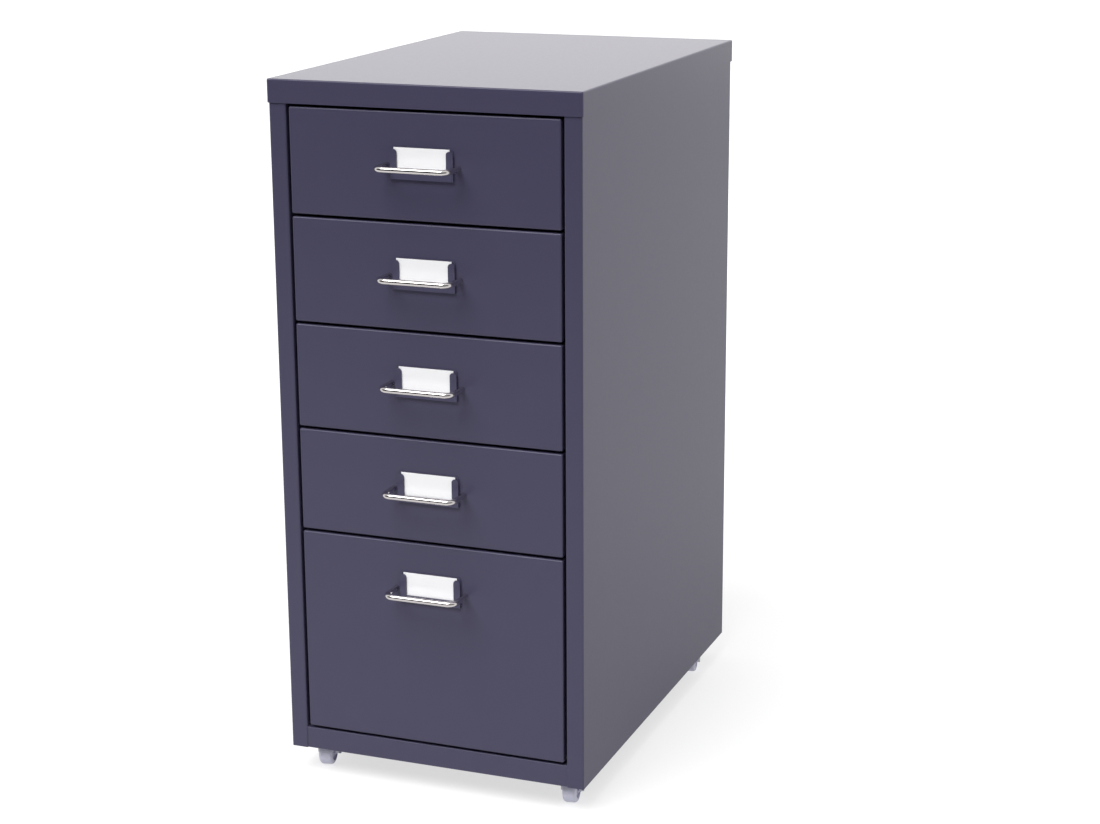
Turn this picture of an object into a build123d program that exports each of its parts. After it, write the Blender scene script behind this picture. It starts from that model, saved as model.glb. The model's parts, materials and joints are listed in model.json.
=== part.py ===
from build123d import *
import os

# A mobile pedestal: a folded sheet steel cabinet with four shallow drawers and one deep drawer,
# each with a wire handle and a label holder, standing on four small hooded castors.
# Millimetres. +Z is up, the drawers face -Y, and the origin is on the floor under the middle
# of the whole object, handles included.

# Overall sizes
width = 280.0
depth = 410.0
height = 620.0
ground_clearance = 24.0

# Sheet steel and its folds
sheet = 0.8
fold_radius = 1.5

# Top tray
tray_rim = 20.0
tray_gap = 0.2

# Cabinet body
stile_width = 15.5
lip_depth = 24.0
lip_kept = 8.0
top_flange = 12.0
top_fold_drop = 0.3
base_rim = 19.5
base_return = 8.0
base_setback = 0.9
rail_overlap = 5.0
seam = 0.5
back_inset = 0.6

# Drawer fronts
small_drawers = 4
front_gap = 2.5
side_gap = 2.6
front_depth = 13.0

# Drawer boxes and their slides
box_floor_lift = 6.0
box_top_drop = 16.0
box_rear_gap = 16.0
runner_sheet = 1.0
runner_reach = 8.0
runner_rear_gap = 6.0
closing_gap = 0.5
hook_height = 4.0
slide_clearance = 0.3
slide_side_clearance = 1.0
slide_head_room = 1.2
box_side_gap = 1.7
drawer_travel = 300.0
stop_height = 2.4
stop_margin = 0.5

# Wire handles
wire_diameter = 5.0
handle_spacing = 64.0
handle_reach = 27.5
handle_bend = 7.0
handle_drop = 44.2

# Label holders and cards
holder_width = 56.0
holder_height = 27.0
card_drop = 29.0
deep_raise = 2.5
holder_sheet = 0.7
holder_corner = 2.8
card_slot = 1.2
rail_width = 6.0
rail_drop = 2.2
bottom_lip = 6.0
card_width = 49.8
card_height = 25.6
card_thickness = 0.4

# Screws
handle_screw_diameter = 3.0
handle_screw_length = 9.0
handle_head_diameter = 5.6
handle_head_height = 1.8
thread_clearance = 0.05
back_screw_diameter = 3.5
back_screw_length = 8.0
back_head_diameter = 7.0
back_head_height = 1.4
back_screw_inset = 8.0
back_screw_rows = 4
back_screw_margin = 40.0
tray_screw_x = 95.0
screw_hole_clearance = 0.15
recess_width = 0.9
recess_depth = 0.8

# Castors
front_castor_inset = 21.4
back_castor_inset = 18.6
castor_from_front = 33.0
castor_from_back = 46.0
castor_turns = {"front_left": -78.0, "front_right": -81.0, "back_left": 8.0, "back_right": -79.0}
wheel_diameter = 26.0
wheel_width = 12.6
wheel_shoulder = 3.0
wheel_dish = 2.2
wheel_rim = 3.4
hub_diameter = 9.0
wheel_side_clearance = 0.6
castor_trail = 8.0
cheek_thickness = 1.4
cheek_width = 7.0
cheek_lean = 32.0
hood_gap = 1.5
hood_thickness = 1.5
hood_ahead = 3.0
hood_lift = 4.5
neck_diameter = 12.0
neck_start = 20.0
axle_diameter = 4.0
axle_head_diameter = 6.0
axle_head_height = 0.8
stem_diameter = 6.0
stem_collar_diameter = 12.0
stem_collar_height = 1.2
stem_collar_gap = 0.3
stem_depth = 6.0
stem_thread = 4.6
nut_width = 10.0
nut_height = 3.2
running_clearance = 0.06

# Places that follow from the sizes
tray_proud = sheet + tray_gap
body_depth = depth - 2 * tray_proud
half_body = width / 2 - tray_proud
body_bottom = ground_clearance
body_top = height - sheet
front = (handle_reach - body_depth - tray_proud - back_head_height) / 2
back = front + body_depth
middle_y = (front + back) / 2
opening_half = half_body - stile_width
opening_bottom = body_bottom + base_rim
base_plate = opening_bottom - sheet
base_front = front + base_setback
opening_top = height - tray_rim
front_half = opening_half - side_gap
units = small_drawers + 2
small_front = (opening_top - opening_bottom - front_gap) / units - front_gap
deep_front = 2 * small_front + front_gap
runner_start = front + front_depth + closing_gap
runner_end = back - sheet - runner_rear_gap
runner_tip = opening_half - runner_reach
hook_outer = opening_half - runner_sheet - slide_side_clearance
box_half = runner_tip - box_side_gap
box_rear = back - box_rear_gap
stop_face = runner_start + runner_sheet
handle_y = front - handle_reach + wire_diameter / 2

os.makedirs("parts", exist_ok=True)


def save(piece, name):
    """Labels a finished piece and writes it under its name."""
    piece.label = name
    export_step(piece, f"parts/{name}.step")


# Top tray: a shallow pan turned upside down over the body
with BuildPart() as top_tray:
    with BuildSketch(Plane.XY.offset(height - tray_rim)):
        with Locations((0, middle_y)):
            Rectangle(width, depth)
    extrude(amount=tray_rim)
    fillet(top_tray.edges().filter_by(Axis.Z), fold_radius)
    fillet(top_tray.faces().sort_by(Axis.Z)[-1].edges(), fold_radius)
    offset(amount=-sheet, openings=top_tray.faces().sort_by(Axis.Z)[0])
    with BuildSketch(Plane.XZ.offset(-back - tray_proud)):
        with Locations((-tray_screw_x, height - tray_rim / 2), (tray_screw_x, height - tray_rim / 2)):
            Circle(back_screw_diameter / 2 + screw_hole_clearance)
    extrude(amount=tray_proud, mode=Mode.SUBTRACT)
save(top_tray.part, "top_tray")

# Rows of screws that hold the back panel
first_row = body_bottom + back_screw_margin
last_row = opening_top - back_screw_margin
row_step = (last_row - first_row) / (back_screw_rows - 1)
back_screw_heights = [first_row + row * row_step for row in range(back_screw_rows)]
back_screw_x = half_body - back_screw_inset
back_screw_spots = [(side * back_screw_x, z) for side in (-1, 1) for z in back_screw_heights]
tray_screw_spots = [(side * tray_screw_x, height - tray_rim / 2) for side in (-1, 1)]

# Side panels: a wall folded in at the front as the stile, with a lip behind it, and alike at the rear.
# The lips are cut away below the base plate, for the front rail and the castors.
for side, name in ((-1, "left_side_panel"), (1, "right_side_panel")):
    flange_y = back - sheet
    outline = [
        (side * opening_half, front + lip_depth),
        (side * opening_half, front),
        (side * half_body, front),
        (side * half_body, flange_y),
        (side * opening_half, flange_y),
        (side * opening_half, flange_y - lip_depth),
    ]
    with BuildPart() as side_panel:
        with BuildSketch(Plane.XY.offset(body_bottom)):
            with BuildLine():
                FilletPolyline(*outline, radius=fold_radius)
                offset(amount=sheet, side=Side.LEFT if side > 0 else Side.RIGHT)
            make_face()
        extrude(amount=body_top - top_fold_drop - body_bottom)
        with BuildSketch(Plane.XY.offset(body_top - sheet)):
            with Locations((side * (half_body - sheet * 0.75 - top_flange / 2), middle_y)):
                Rectangle(top_flange, body_depth - 2 * lip_depth)
        extrude(amount=sheet)
        with BuildSketch(Plane.XY.offset(body_bottom)):
            with Locations((side * (opening_half + sheet), (front + sheet + back - lip_kept) / 2)):
                Rectangle(4 * sheet, body_depth - sheet - lip_kept)
        extrude(amount=base_rim, mode=Mode.SUBTRACT)
        with BuildSketch(Plane.XZ.offset(-back)):
            with Locations(*[(x, z) for x, z in back_screw_spots if x * side > 0]):
                Circle(back_screw_diameter / 2 + screw_hole_clearance)
        extrude(amount=2 * sheet + fold_radius, mode=Mode.SUBTRACT)
    save(side_panel.part, name)

# Back panel: a flat sheet outside the rear flanges
with BuildPart() as back_panel:
    with BuildSketch(Plane.XZ.offset(-back)):
        with Locations((0, (body_bottom + body_top - top_fold_drop) / 2)):
            Rectangle(2 * (half_body - back_inset), body_top - top_fold_drop - body_bottom)
        with Locations(*back_screw_spots, *tray_screw_spots):
            Circle(back_screw_diameter / 2 + screw_hole_clearance, mode=Mode.SUBTRACT)
    extrude(amount=sheet)
save(back_panel.part, "back_panel")

# Base tray: the floor of the cabinet, with rims turned down around the castors
front_castor_x = half_body - front_castor_inset
back_castor_x = half_body - back_castor_inset
castor_spots = {
    "front_left": (-front_castor_x, front + castor_from_front),
    "front_right": (front_castor_x, front + castor_from_front),
    "back_left": (-back_castor_x, back - castor_from_back),
    "back_right": (back_castor_x, back - castor_from_back),
}
base_half = opening_half - seam
wall_inside = half_body - sheet
base_rear = back - sheet
tab_inner = opening_half + sheet + seam
tab_outer = wall_inside - seam
tab_middle = (tab_inner + tab_outer) / 2
with BuildPart() as base_tray:
    with BuildSketch(Plane.XY.offset(base_plate)):
        with Locations((0, (base_front + base_rear) / 2)):
            Rectangle(2 * base_half, base_rear - base_front)
        with Locations((0, middle_y)):
            Rectangle(2 * wall_inside, body_depth - 2 * (lip_depth + sheet + seam))
        with Locations((-tab_middle, middle_y), (tab_middle, middle_y)):
            Rectangle(tab_outer - tab_inner, body_depth - 4 * sheet - 2 * seam)
    extrude(amount=sheet)
    with BuildSketch(Plane.XY.offset(body_bottom)):
        with Locations((0, base_front + sheet / 2)):
            Rectangle(2 * (opening_half + rail_overlap), sheet)
        with Locations((0, base_rear - sheet / 2)):
            Rectangle(2 * base_half, sheet)
        with Locations((wall_inside - sheet / 2, middle_y), (sheet / 2 - wall_inside, middle_y)):
            Rectangle(sheet, body_depth - 2 * (lip_depth + sheet + seam))
    extrude(amount=base_rim)
    with BuildSketch(Plane.XY.offset(body_bottom)):
        with Locations((0, base_front + base_return / 2)):
            Rectangle(2 * base_half, base_return)
    extrude(amount=sheet)
    front_folds = base_tray.edges().filter_by(Axis.X).group_by(Axis.Y)[0]
    fillet(front_folds, sheet * 0.75)
    with Locations(*[(x, y, base_plate + sheet) for x, y in castor_spots.values()]):
        Hole(stem_diameter / 2 + screw_hole_clearance, depth=2 * sheet)
save(base_tray.part, "base_tray")


def pan_head_screw(diameter, length, head_diameter, head_height):
    """A pan head screw with a cross recess: head upwards from z = 0, shank downwards."""
    with BuildPart() as screw:
        with BuildSketch():
            Circle(head_diameter / 2)
        extrude(amount=head_height)
        fillet(screw.faces().sort_by(Axis.Z)[-1].edges(), head_height * 0.45)
        with BuildSketch():
            Circle(diameter / 2)
        extrude(amount=-length)
        with BuildSketch(Plane.XY.offset(head_height - recess_depth)):
            Rectangle(head_diameter / 2, recess_width)
            Rectangle(recess_width, head_diameter / 2)
        extrude(amount=recess_depth, mode=Mode.SUBTRACT)
    return screw.part


# Screws through the back panel and through the rear rim of the top tray
back_screw = pan_head_screw(back_screw_diameter, back_screw_length, back_head_diameter, back_head_height)
with BuildPart() as cabinet_screws:
    with Locations(*[Location((x, back, z), (-90, 0, 0)) for x, z in back_screw_spots]):
        add(back_screw)
    with Locations(*[Location((x, back + tray_proud, z), (-90, 0, 0)) for x, z in tray_screw_spots]):
        add(back_screw)
save(cabinet_screws.part, "cabinet_screws")

# Drawers from the top down: number, lower edge of the front and height of the front
drawers = []
next_top = opening_top - front_gap
for number in range(1, small_drawers + 2):
    front_height = small_front if number <= small_drawers else deep_front
    drawers.append((number, next_top - front_height, front_height))
    next_top -= front_height + front_gap


def drawer_front(bottom, tall, handle_z):
    """The pan-shaped front panel, with a fold all round and two holes for the handle."""
    with BuildPart() as panel:
        with BuildSketch(Plane.XZ.offset(-front)):
            with Locations((0, bottom + tall / 2)):
                Rectangle(2 * front_half, tall)
        extrude(amount=-front_depth)
        fillet(panel.edges().filter_by(Axis.Y), fold_radius)
        fillet(panel.faces().sort_by(Axis.Y)[0].edges(), fold_radius)
        offset(amount=-sheet, openings=panel.faces().sort_by(Axis.Y)[-1])
        with BuildSketch(Plane.XZ.offset(-front)):
            with Locations((0, handle_z)):
                with GridLocations(handle_spacing, 0, 2, 1):
                    Circle(handle_screw_diameter / 2 + screw_hole_clearance)
        extrude(amount=-sheet, mode=Mode.SUBTRACT)
    return panel.part


def drawer_box(bottom, tall, handle_z):
    """The open box behind the front, with hooked flanges that ride in the runners."""
    floor = bottom + box_floor_lift
    rim = bottom + tall - box_top_drop
    box_front = front + sheet
    flange_start = runner_start + closing_gap
    stop_tab = stop_face + drawer_travel + stop_margin
    with BuildPart() as box:
        with BuildSketch(Plane.XY.offset(floor)):
            with Locations((0, (box_front + box_rear) / 2)):
                Rectangle(2 * box_half, box_rear - box_front)
        extrude(amount=rim - floor)
        fillet(box.edges().filter_by(Axis.Z), fold_radius)
        fillet(box.faces().sort_by(Axis.Z)[0].edges(), fold_radius)
        offset(amount=-sheet, openings=box.faces().sort_by(Axis.Z)[-1])
        for side in (-1, 1):
            flange_middle = side * (box_half - sheet + hook_outer) / 2
            flange_width = hook_outer - box_half + sheet
            length = box_rear - fold_radius - flange_start
            with BuildSketch(Plane.XY.offset(rim - sheet)):
                with Locations((flange_middle, flange_start + length / 2)):
                    Rectangle(flange_width, length)
            extrude(amount=sheet)
            with BuildSketch(Plane.XY.offset(rim - hook_height)):
                with Locations((side * (hook_outer - sheet / 2), flange_start + length / 2)):
                    Rectangle(sheet, length)
            extrude(amount=hook_height)
            with BuildSketch(Plane.XY.offset(rim - hook_height)):
                with Locations((flange_middle, stop_tab + sheet / 2)):
                    Rectangle(flange_width, sheet)
            extrude(amount=hook_height)
        with BuildSketch(Plane.XZ.offset(-box_front)):
            with Locations((0, handle_z)):
                with GridLocations(handle_spacing, 0, 2, 1):
                    Circle(handle_screw_diameter / 2 + screw_hole_clearance)
        extrude(amount=-sheet, mode=Mode.SUBTRACT)
    return box.part


def runner_pair(rim):
    """The two channel runners that carry the flanges of one drawer, each with a stop at its mouth."""
    shelf = rim - hook_height - slide_clearance
    low = shelf - runner_sheet
    high = rim + slide_head_room + runner_sheet
    with BuildPart() as runners:
        for side in (-1, 1):
            channel = [
                (side * runner_tip, low),
                (side * opening_half, low),
                (side * opening_half, high),
                (side * runner_tip, high),
            ]
            with BuildSketch(Plane.XZ.offset(-runner_start)):
                with BuildLine():
                    FilletPolyline(*channel, radius=fold_radius)
                    offset(amount=runner_sheet, side=Side.LEFT if side > 0 else Side.RIGHT)
                make_face()
            extrude(amount=runner_start - runner_end)
            stop_low = runner_tip + runner_sheet / 2
            stop_high = hook_outer - sheet - slide_side_clearance
            with BuildSketch(Plane.XZ.offset(-runner_start)):
                with Locations((side * (stop_low + stop_high) / 2, shelf + stop_height / 2)):
                    Rectangle(stop_high - stop_low, stop_height)
            extrude(amount=-runner_sheet)
    return runners.part


def wire_handle(centre_z):
    """A bail of round wire with a tapped end at each foot."""
    feet = handle_spacing / 2
    route = [(-feet, front), (-feet, handle_y), (feet, handle_y), (feet, front)]
    with BuildPart() as handle:
        with BuildLine(Plane.XY.offset(centre_z)) as wire:
            FilletPolyline(*route, radius=handle_bend)
        with BuildSketch(Plane(origin=(-feet, front, centre_z), z_dir=(0, -1, 0))):
            Circle(wire_diameter / 2)
        sweep(path=wire.wires()[0])
        with BuildSketch(Plane.XZ.offset(-front)):
            with Locations((-feet, centre_z), (feet, centre_z)):
                Circle(handle_screw_diameter / 2 + thread_clearance)
        extrude(amount=handle_screw_length, mode=Mode.SUBTRACT)
    return handle.part


def label_holder(low):
    """A sheet metal pocket on the front: a back plate, two side rails and a bottom lip."""
    rail_middle = (holder_width - rail_width) / 2
    rail_height = holder_height - rail_drop
    wall_height = rail_height - holder_corner
    out = front - holder_sheet - card_slot
    with BuildPart() as holder:
        with BuildSketch(Plane.XZ.offset(-front)) as plate:
            with Locations((0, low + holder_height / 2)):
                Rectangle(holder_width, holder_height)
            fillet(plate.vertices().group_by(Axis.Z)[-1], holder_corner)
        extrude(amount=holder_sheet)
        with BuildSketch(Plane.XZ.offset(-front)):
            for side in (-1, 1):
                with Locations((side * (holder_width - holder_sheet) / 2, low + wall_height / 2)):
                    Rectangle(holder_sheet, wall_height)
            with Locations((0, low + holder_sheet / 2)):
                Rectangle(holder_width, holder_sheet)
        extrude(amount=2 * holder_sheet + card_slot)
        with BuildSketch(Plane.XZ.offset(-out)) as rails:
            for side in (-1, 1):
                with Locations((side * rail_middle, low + rail_height / 2)):
                    Rectangle(rail_width, rail_height)
            fillet(rails.vertices().group_by(Axis.Z)[-1], holder_corner)
            with Locations((0, low + bottom_lip / 2)):
                Rectangle(holder_width, bottom_lip)
        extrude(amount=holder_sheet)
    return holder.part


def label_card(low):
    """A blank paper card that stands in the label holder."""
    with BuildPart() as card:
        with BuildSketch(Plane.XZ.offset(-front + holder_sheet + (card_slot - card_thickness) / 2)):
            with Locations((0, low + holder_sheet + card_height / 2)):
                Rectangle(card_width, card_height)
        extrude(amount=card_thickness)
    return card.part


handle_screw = pan_head_screw(
    handle_screw_diameter,
    handle_screw_length + sheet,
    handle_head_diameter,
    handle_head_height,
)
for number, bottom, tall in drawers:
    raised = 0 if number <= small_drawers else deep_raise
    handle_z = bottom + tall - handle_drop + raised
    holder_low = bottom + tall - card_drop + raised - card_height - holder_sheet
    save(drawer_front(bottom, tall, handle_z), f"drawer_{number}_front")
    save(drawer_box(bottom, tall, handle_z), f"drawer_{number}_box")
    save(runner_pair(bottom + tall - box_top_drop), f"drawer_{number}_runners")
    save(wire_handle(handle_z), f"drawer_{number}_handle")
    save(label_holder(holder_low), f"drawer_{number}_label_holder")
    save(label_card(holder_low), f"drawer_{number}_label_card")
    with BuildPart() as handle_screws:
        with Locations(
            Location((-handle_spacing / 2, front + 2 * sheet, handle_z), (-90, 0, 0)),
            Location((handle_spacing / 2, front + 2 * sheet, handle_z), (-90, 0, 0)),
        ):
            add(handle_screw)
    save(handle_screws.part, f"drawer_{number}_handle_screws")

# Castor stems and nuts, fixed in the base tray
collar_bottom = base_plate - stem_collar_height
stem_bottom = collar_bottom - stem_collar_gap - stem_depth
stem_length = opening_bottom + stem_thread - stem_bottom
upwards = (Align.CENTER, Align.CENTER, Align.MIN)
with BuildPart() as castor_stems:
    with Locations(*[Location((x, y, stem_bottom)) for x, y in castor_spots.values()]):
        Cylinder(stem_diameter / 2, stem_length, align=upwards)
    with Locations(*[Location((x, y, collar_bottom)) for x, y in castor_spots.values()]):
        Cylinder(stem_collar_diameter / 2, stem_collar_height, align=upwards)
save(castor_stems.part, "castor_stems")

with BuildPart() as castor_nuts:
    with BuildSketch(Plane.XY.offset(opening_bottom)):
        with Locations(*castor_spots.values()):
            RegularPolygon(nut_width / 2, 6, major_radius=False)
            Circle(stem_diameter / 2 + thread_clearance, mode=Mode.SUBTRACT)
    extrude(amount=nut_height)
save(castor_nuts.part, "castor_nuts")

# One castor about its own stem at the origin, its wheel trailing along +X and its axle along Y
wheel_radius = wheel_diameter / 2
half_wheel = wheel_width / 2
cheek_inner = half_wheel + wheel_side_clearance
cheek_outer = cheek_inner + cheek_thickness
hood_inner = wheel_radius + hood_gap
hood_outer = hood_inner + hood_thickness
cheek_reach = hood_inner + hood_thickness / 2 - cheek_width / 2
neck_top = collar_bottom - stem_collar_gap
axle_plane = Plane(origin=(castor_trail, 0, wheel_radius), x_dir=(1, 0, 0), z_dir=(0, -1, 0))

with BuildPart() as wheel:
    with BuildSketch(axle_plane.offset(-half_wheel)):
        Circle(wheel_radius)
    extrude(amount=wheel_width)
    fillet(wheel.edges(), wheel_shoulder)
    for face_plane, direction in ((axle_plane.offset(half_wheel), -1), (axle_plane.offset(-half_wheel), 1)):
        with BuildSketch(face_plane):
            Circle(wheel_radius - wheel_rim)
            Circle(hub_diameter / 2, mode=Mode.SUBTRACT)
        extrude(amount=direction * wheel_dish, mode=Mode.SUBTRACT)
    with BuildSketch(axle_plane.offset(-half_wheel)):
        Circle(axle_diameter / 2 + running_clearance)
    extrude(amount=wheel_width, mode=Mode.SUBTRACT)

with BuildPart() as axle:
    with BuildSketch(axle_plane.offset(-cheek_outer)):
        Circle(axle_diameter / 2)
    extrude(amount=2 * cheek_outer)
    with BuildSketch(axle_plane.offset(cheek_outer)):
        Circle(axle_head_diameter / 2)
    extrude(amount=axle_head_height)
    with BuildSketch(axle_plane.offset(-cheek_outer)):
        Circle(axle_head_diameter / 2)
    extrude(amount=-axle_head_height)
    fillet(axle.edges().group_by(Axis.Y)[0] + axle.edges().group_by(Axis.Y)[-1], axle_head_height / 2)

with BuildPart() as housing:
    with BuildSketch(axle_plane.offset(-cheek_outer)):
        Circle(hood_outer)
        with Locations((hood_ahead + hood_outer, 0)):
            Rectangle(2 * hood_outer, 2 * hood_outer, mode=Mode.SUBTRACT)
        with Locations((0, hood_lift - wheel_radius - hood_outer)):
            Rectangle(2 * hood_outer, 2 * hood_outer, mode=Mode.SUBTRACT)
    extrude(amount=2 * cheek_outer)
    with BuildSketch(Plane.XY.offset(neck_start)):
        Circle(neck_diameter / 2)
    extrude(amount=neck_top - neck_start)
    with BuildSketch(axle_plane.offset(-cheek_outer)):
        Circle(hood_inner)
    extrude(amount=2 * cheek_outer, mode=Mode.SUBTRACT)
    for cheek_plane in (axle_plane.offset(cheek_inner), axle_plane.offset(-cheek_outer)):
        with BuildSketch(cheek_plane):
            Circle(cheek_width / 2)
            with PolarLocations(cheek_reach, 1, start_angle=90 + cheek_lean):
                Circle(cheek_width / 2)
            make_hull()
        extrude(amount=cheek_thickness)
    with BuildSketch(Plane.XY.offset(stem_bottom)):
        Circle(stem_diameter / 2 + running_clearance)
    extrude(amount=neck_top - stem_bottom, mode=Mode.SUBTRACT)
    with BuildSketch(axle_plane.offset(-cheek_outer)):
        Circle(axle_diameter / 2)
    extrude(amount=2 * cheek_outer, mode=Mode.SUBTRACT)

castor_pieces = {
    "castor_housing": housing.part,
    "castor_axle": axle.part,
    "castor_wheel": wheel.part,
}
for corner, (x, y) in castor_spots.items():
    spot = Location((x, y, 0), (0, 0, castor_turns[corner]))
    for name, piece in castor_pieces.items():
        with BuildPart() as placed:
            with Locations(spot):
                add(piece)
        save(placed.part, f"{corner}_{name}")
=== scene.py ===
"""Looks, light and camera for the mobile pedestal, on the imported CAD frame. Metres, row frame."""

import json
import math

import bpy
from mathutils import Matrix, Vector

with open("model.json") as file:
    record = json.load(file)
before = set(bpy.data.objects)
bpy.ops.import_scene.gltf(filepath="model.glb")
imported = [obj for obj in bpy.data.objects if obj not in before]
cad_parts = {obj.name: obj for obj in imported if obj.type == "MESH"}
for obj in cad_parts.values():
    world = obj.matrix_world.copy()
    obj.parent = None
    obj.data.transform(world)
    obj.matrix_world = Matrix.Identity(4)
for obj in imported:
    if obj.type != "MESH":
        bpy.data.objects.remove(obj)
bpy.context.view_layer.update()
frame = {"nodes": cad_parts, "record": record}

# Camera: metres, degrees and pixels, fitted to the corners of the cabinet
CAMERA_PLACE = (0.76629, -1.89009, 0.84897)
CAMERA_AZIMUTH = 21.1166
CAMERA_ELEVATION = 15.1432
CAMERA_ROLL = -0.3405
FOCAL_PIXELS = 2296.67
IMAGE_WIDTH = 1100
SENSOR_MM = 36.0

# Light
BACK_PLACE = (-0.6, 3.2, 1.2)
BACK_TARGET = (0, 0, 0.6)
BACK_WIDTH = 4.0
BACK_HEIGHT = 2.0
BACK_WATTS = 28
BACK_COLOUR = (1.0, 0.985, 0.94)
KEY_STRENGTH = 2.7
KEY_SPREAD = 40
KEY_AZIMUTH = -20
KEY_ELEVATION = 56
FLOOR_GLOW = 0.38
FLOOR_GLOW_SEEN = 0.66
FLOOR_TONE = 0.35
FLOOR_ROUGHNESS = 0.9
FLOOR_SPECULAR = 0.1
FLOOR_SIZE = 24
FLOOR_FRONT = -1.9
ROOM_STRENGTH = 0.85
DARK_STRENGTH = 0.04
# The dark part of the room begins and is full at these parts of the view's direction
DARK_FORWARD = (-0.1, -0.5)
DARK_DOWN = (0.62, 0.38)


def linear(red, green, blue):
    """A colour given in 0 to 255 display values as linear RGBA."""
    out = []
    for value in (red, green, blue):
        v = value / 255
        out.append(v / 12.92 if v <= 0.04045 else ((v + 0.055) / 1.055) ** 2.4)
    return (*out, 1.0)


def new_material(name, colour, roughness, metallic=0.0, specular=0.5):
    """A Principled material with its constants on the shader's own sockets."""
    mat = bpy.data.materials.new(name)
    mat.use_nodes = True
    mat.diffuse_color = colour
    shader = mat.node_tree.nodes["Principled BSDF"]
    shader.inputs["Base Color"].default_value = colour
    shader.inputs["Roughness"].default_value = roughness
    shader.inputs["Metallic"].default_value = metallic
    shader.inputs["Specular IOR Level"].default_value = specular
    return mat, shader


def noise(mat, scale, detail):
    """A noise texture in the object's own metres."""
    tree = mat.node_tree
    coords = tree.nodes.new("ShaderNodeTexCoord")
    texture = tree.nodes.new("ShaderNodeTexNoise")
    texture.inputs["Scale"].default_value = scale
    texture.inputs["Detail"].default_value = detail
    tree.links.new(coords.outputs["Object"], texture.inputs["Vector"])
    return texture


def add_bump(mat, shader, texture, strength, distance):
    """Lets a texture raise and lower the surface."""
    bump = mat.node_tree.nodes.new("ShaderNodeBump")
    bump.inputs["Strength"].default_value = strength
    bump.inputs["Distance"].default_value = distance
    mat.node_tree.links.new(texture.outputs["Fac"], bump.inputs["Height"])
    mat.node_tree.links.new(bump.outputs["Normal"], shader.inputs["Normal"])


def spread(mat, shader, texture, socket, low, high):
    """Drives one number of the shader between two values by a texture."""
    band = mat.node_tree.nodes.new("ShaderNodeMapRange")
    band.inputs["To Min"].default_value = low
    band.inputs["To Max"].default_value = high
    mat.node_tree.links.new(texture.outputs["Fac"], band.inputs["Value"])
    mat.node_tree.links.new(band.outputs["Result"], shader.inputs[socket])


def mottle(mat, shader, texture, dark, light):
    """Varies the base colour softly between two near shades."""
    ramp = mat.node_tree.nodes.new("ShaderNodeValToRGB")
    ramp.color_ramp.elements[0].color = dark
    ramp.color_ramp.elements[1].color = light
    mat.node_tree.links.new(texture.outputs["Fac"], ramp.inputs["Fac"])
    mat.node_tree.links.new(ramp.outputs["Color"], shader.inputs["Base Color"])


def powder_coat():
    """Slate powder coat on sheet steel, with a fine orange peel."""
    mat, shader = new_material("slate_powder_coat", linear(68.5, 66, 89.5), 0.34, 0.0, 0.34)
    spread(mat, shader, noise(mat, 250, 2), "Roughness", 0.32, 0.36)
    mottle(mat, shader, noise(mat, 40, 2), linear(67.5, 65, 88.5), linear(69.5, 67, 90.5))
    add_bump(mat, shader, noise(mat, 900, 2), 0.05, 0.0002)
    return mat


def chrome_wire():
    """Bright plated wire."""
    mat, shader = new_material("chrome_wire", linear(216, 211, 211), 0.05, 1.0)
    spread(mat, shader, noise(mat, 400, 2), "Roughness", 0.03, 0.07)
    return mat


def paper():
    """Blank white card."""
    mat, shader = new_material("white_card", linear(248, 248, 250), 0.85, 0.0, 0.2)
    add_bump(mat, shader, noise(mat, 1800, 3), 0.1, 0.0001)
    return mat


def castor_plastic():
    """Smooth pale grey nylon."""
    mat, shader = new_material("pale_nylon", linear(206, 206, 225), 0.38)
    add_bump(mat, shader, noise(mat, 900, 2), 0.06, 0.0001)
    return mat


def zinc_plate():
    """Bright zinc plate on screws, stems, nuts and axles."""
    mat, shader = new_material("zinc_plate", linear(188, 190, 194), 0.32, 1.0)
    spread(mat, shader, noise(mat, 900, 2), "Roughness", 0.26, 0.4)
    return mat


MATERIALS = {
    "painted_steel": powder_coat(),
    "chrome_wire": chrome_wire(),
    "label_card": paper(),
    "castor_plastic": castor_plastic(),
    "zinc_steel": zinc_plate(),
}
for part in frame["record"]["subparts"]:
    node = frame["nodes"][part["node"]]
    if not node.material_slots:
        node.data.materials.append(None)
    for material_slot in node.material_slots:
        material_slot.material = MATERIALS[part["material_slot"]]


def area_light(name, place, target, width, height, watts, colour):
    """A soft rectangular light that looks at a point."""
    data = bpy.data.lights.new(name, "AREA")
    data.color = colour
    data.shape = "RECTANGLE"
    data.size, data.size_y = width, height
    data.energy = watts
    lamp = bpy.data.objects.new(name, data)
    lamp.location = place
    lamp.rotation_euler = (Vector(target) - Vector(place)).to_track_quat("-Z", "Y").to_euler()
    lamp.visible_camera = False
    bpy.context.collection.objects.link(lamp)


def key_light():
    """A wide, soft light from above the front left, without falloff."""
    data = bpy.data.lights.new("key_light", "SUN")
    data.energy = KEY_STRENGTH
    data.angle = math.radians(KEY_SPREAD)
    lamp = bpy.data.objects.new("key_light", data)
    azimuth, elevation = math.radians(KEY_AZIMUTH), math.radians(KEY_ELEVATION)
    place = Vector((
        math.sin(azimuth) * math.cos(elevation),
        -math.cos(azimuth) * math.cos(elevation),
        math.sin(elevation),
    ))
    lamp.rotation_euler = (-place).to_track_quat("-Z", "Y").to_euler()
    bpy.context.collection.objects.link(lamp)


area_light(
    "back_softbox", BACK_PLACE, BACK_TARGET, BACK_WIDTH, BACK_HEIGHT, BACK_WATTS, BACK_COLOUR
)
key_light()


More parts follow.
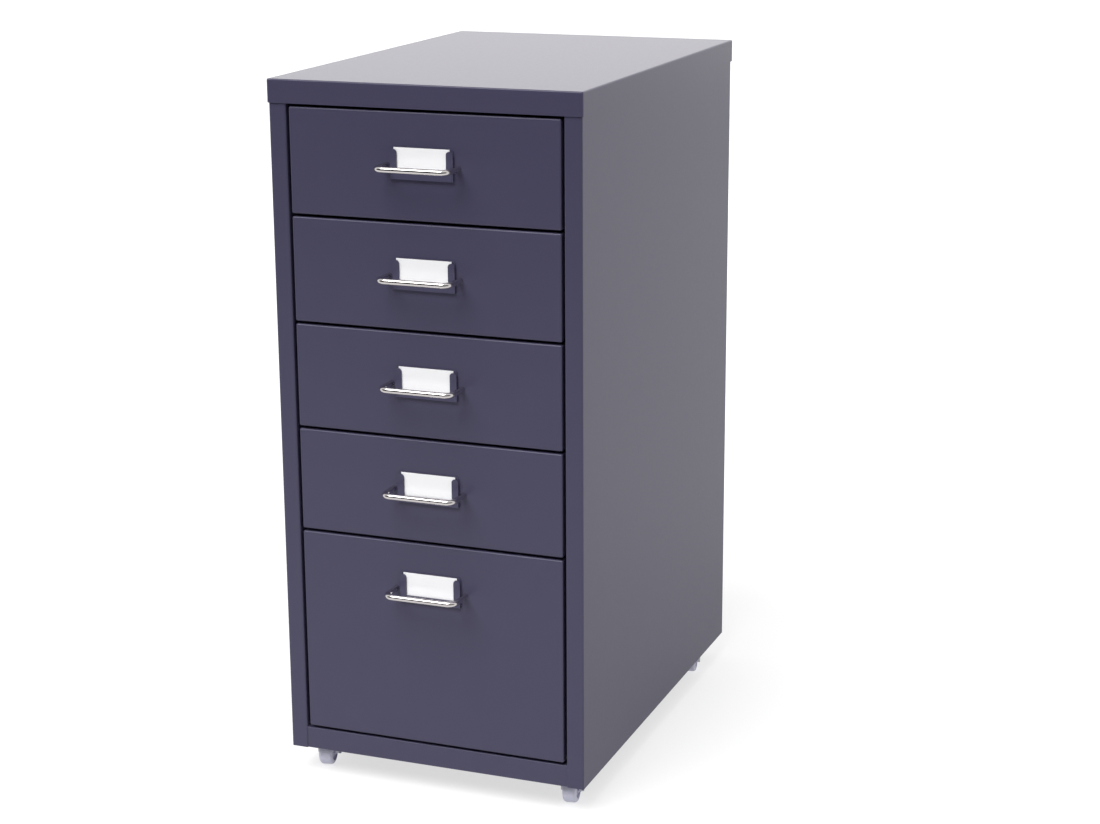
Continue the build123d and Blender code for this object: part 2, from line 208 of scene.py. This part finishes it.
def map_range(tree, source, low, high, to_low, to_high):
    """Takes one range of a number to another by a smooth step."""
    step = tree.nodes.new("ShaderNodeMapRange")
    step.interpolation_type = "SMOOTHSTEP"
    step.inputs["From Min"].default_value = low
    step.inputs["From Max"].default_value = high
    step.inputs["To Min"].default_value = to_low
    step.inputs["To Max"].default_value = to_high
    tree.links.new(source, step.inputs["Value"])
    return step.outputs["Result"]


def white_world():
    """A white studio, darker low at the front as a room behind the photographer is."""
    world = bpy.data.worlds.new("white_studio")
    world.use_nodes = True
    tree = world.node_tree
    light = tree.nodes["Background"]
    light.inputs["Color"].default_value = (1, 1, 1, 1)
    direction = tree.nodes.new("ShaderNodeTexCoord")
    parts = tree.nodes.new("ShaderNodeSeparateXYZ")
    tree.links.new(direction.outputs["Generated"], parts.inputs["Vector"])
    forward = map_range(tree, parts.outputs["Y"], *DARK_FORWARD, 0, 1)
    low_down = map_range(tree, parts.outputs["Z"], *DARK_DOWN, 0, 1)
    both = tree.nodes.new("ShaderNodeMath")
    both.operation = "MULTIPLY"
    tree.links.new(forward, both.inputs[0])
    tree.links.new(low_down, both.inputs[1])
    strength = map_range(tree, both.outputs["Value"], 0, 1, ROOM_STRENGTH, DARK_STRENGTH)
    tree.links.new(strength, light.inputs["Strength"])
    seen = tree.nodes.new("ShaderNodeBackground")
    seen.inputs["Color"].default_value = (1, 1, 1, 1)
    rays = tree.nodes.new("ShaderNodeLightPath")
    mix = tree.nodes.new("ShaderNodeMixShader")
    tree.links.new(rays.outputs["Is Camera Ray"], mix.inputs["Fac"])
    tree.links.new(light.outputs["Background"], mix.inputs[1])
    tree.links.new(seen.outputs["Background"], mix.inputs[2])
    tree.links.new(mix.outputs["Shader"], tree.nodes["World Output"].inputs["Surface"])
    bpy.context.scene.world = world


white_world()

# Floor: a white sweep that ends a step in front of the cabinet
floor_colour = (FLOOR_TONE, FLOOR_TONE, FLOOR_TONE, 1)
floor_mat, floor_shader = new_material("floor", floor_colour, FLOOR_ROUGHNESS, 0.0, FLOOR_SPECULAR)
floor_shader.inputs["Emission Color"].default_value = (1, 1, 1, 1)
floor_tree = floor_mat.node_tree
floor_rays = floor_tree.nodes.new("ShaderNodeLightPath")
floor_seen = map_range(
    floor_tree, floor_rays.outputs["Is Camera Ray"], 0, 1, FLOOR_GLOW, FLOOR_GLOW_SEEN
)
floor_tree.links.new(floor_seen, floor_shader.inputs["Emission Strength"])
bpy.ops.mesh.primitive_plane_add(size=FLOOR_SIZE, location=(0, FLOOR_FRONT + FLOOR_SIZE / 2, 0))
floor = bpy.context.object
floor.name = "floor"
floor.data.materials.append(floor_mat)


def aim_camera():
    """Creates the camera at the fitted place."""
    azimuth = math.radians(CAMERA_AZIMUTH)
    elevation = math.radians(CAMERA_ELEVATION)
    roll = math.radians(CAMERA_ROLL)
    back = Vector((
        math.sin(azimuth) * math.cos(elevation),
        -math.cos(azimuth) * math.cos(elevation),
        math.sin(elevation),
    ))
    right = Vector((0, 0, 1)).cross(back).normalized()
    up = back.cross(right)
    right_rolled = right * math.cos(roll) + up * math.sin(roll)
    up_rolled = up * math.cos(roll) - right * math.sin(roll)
    data = bpy.data.cameras.new("camera")
    data.sensor_width = SENSOR_MM
    data.lens = FOCAL_PIXELS * SENSOR_MM / IMAGE_WIDTH
    camera = bpy.data.objects.new("camera", data)
    turn = Matrix((right_rolled, up_rolled, back)).transposed()
    camera.matrix_world = Matrix.Translation(CAMERA_PLACE) @ turn.to_4x4()
    bpy.context.collection.objects.link(camera)
    bpy.context.scene.camera = camera


aim_camera()
bpy.context.scene.view_settings.view_transform = "Standard"
